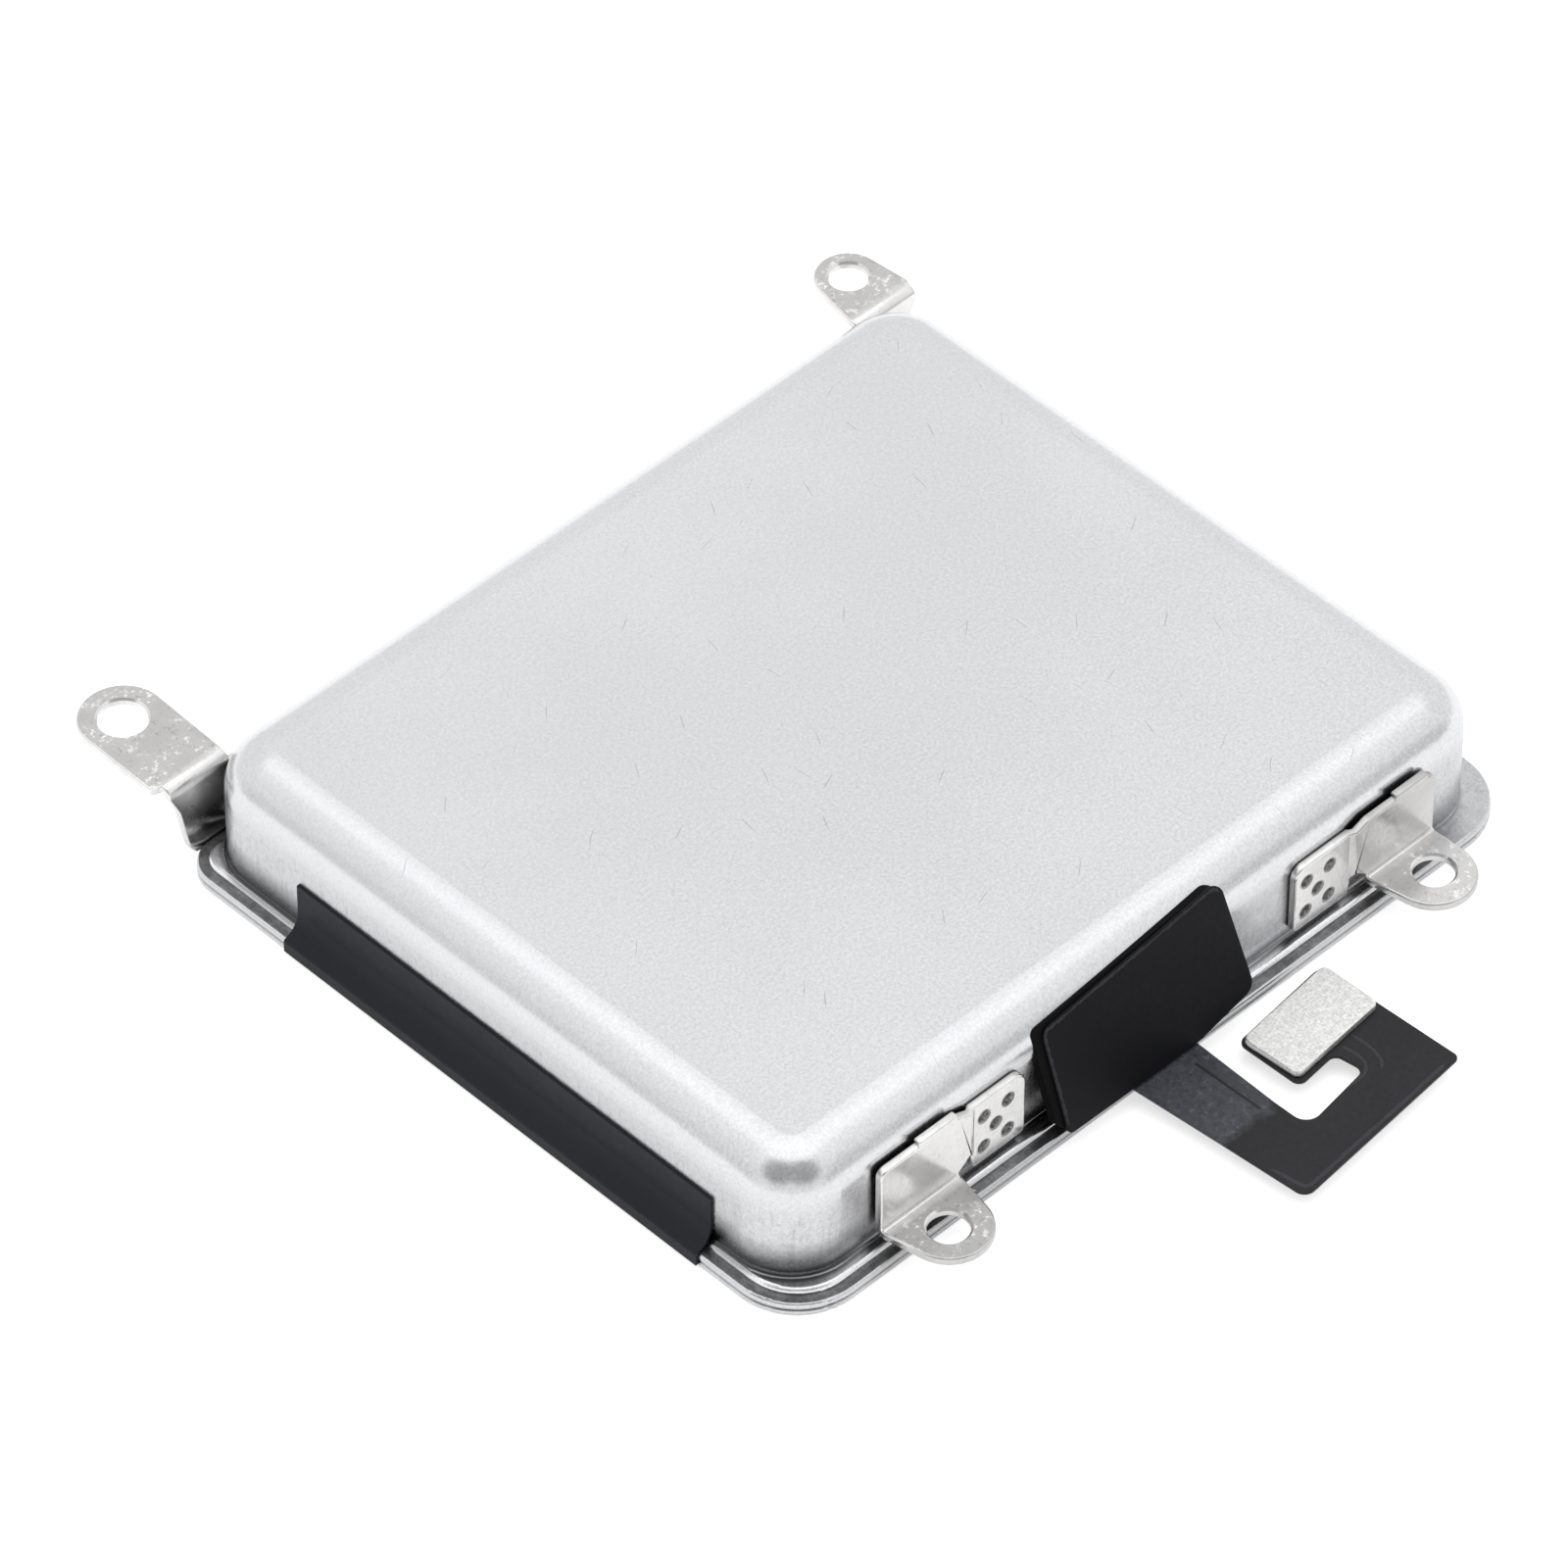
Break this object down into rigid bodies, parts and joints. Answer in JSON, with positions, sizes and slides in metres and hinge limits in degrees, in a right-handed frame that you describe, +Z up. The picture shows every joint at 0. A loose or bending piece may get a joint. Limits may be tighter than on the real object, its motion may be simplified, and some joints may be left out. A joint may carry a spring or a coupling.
{
  "type": "smartwatch battery",
  "caption": "Steel can battery of a smartwatch with welded screw lugs, edge tape, foam pad and a flat circuit tail",
  "frame": {"origin": "middle of the base plate's underside, level with the middle of the can's walls", "axes": "+X along the wall that carries the circuit tail, +Y from that wall to the rear, +Z up from the base"},
  "size_m": [0.0324, 0.0385, 0.0051],
  "materials": {
    "can_steel": "satin drawn steel with fine scratches",
    "lug_steel": "smooth stamped sheet, half gloss",
    "black_film": "matte black film",
    "black_foam": "dense black foam",
    "circuit_film": "dark circuit cover film, satin",
    "stiffener_steel": "fine woven texture",
    "black_plastic": "moulded, matte",
    "contact_gold": "thin gold plating",
    "nickel": "nickel sheet",
    "seal_plastic": "moulded seal",
    "board_laminate": "glass laminate",
    "chip_ceramic": "fired ceramic"
  },
  "bodies": {
    "root": {"can_shell": "can_steel", "base_plate": "can_steel", "lug_front_left": "lug_steel", "lug_front_right": "lug_steel", "lug_rear_left": "lug_steel", "lug_rear_right": "lug_steel", "edge_tape": "black_film", "pad_cover": "black_film", "pad_foam": "black_foam", "flex_circuit": "circuit_film", "connector_stiffener": "stiffener_steel", "connector_body": "black_plastic", "contact_front_1": "contact_gold", "contact_front_2": "contact_gold", "contact_front_3": "contact_gold", "contact_rear_1": "contact_gold", "contact_rear_2": "contact_gold", "contact_rear_3": "contact_gold", "hold_down_left": "nickel", "hold_down_right": "nickel", "terminal_pole": "nickel", "terminal_seal": "seal_plastic", "positive_tab": "nickel", "negative_tab": "nickel", "board_stiffener": "board_laminate", "protection_chip": "black_plastic", "switch_chip": "black_plastic", "sense_resistor": "chip_ceramic", "filter_capacitor": "chip_ceramic", "filler_plug": "lug_steel"}
  },
  "joints": []
}
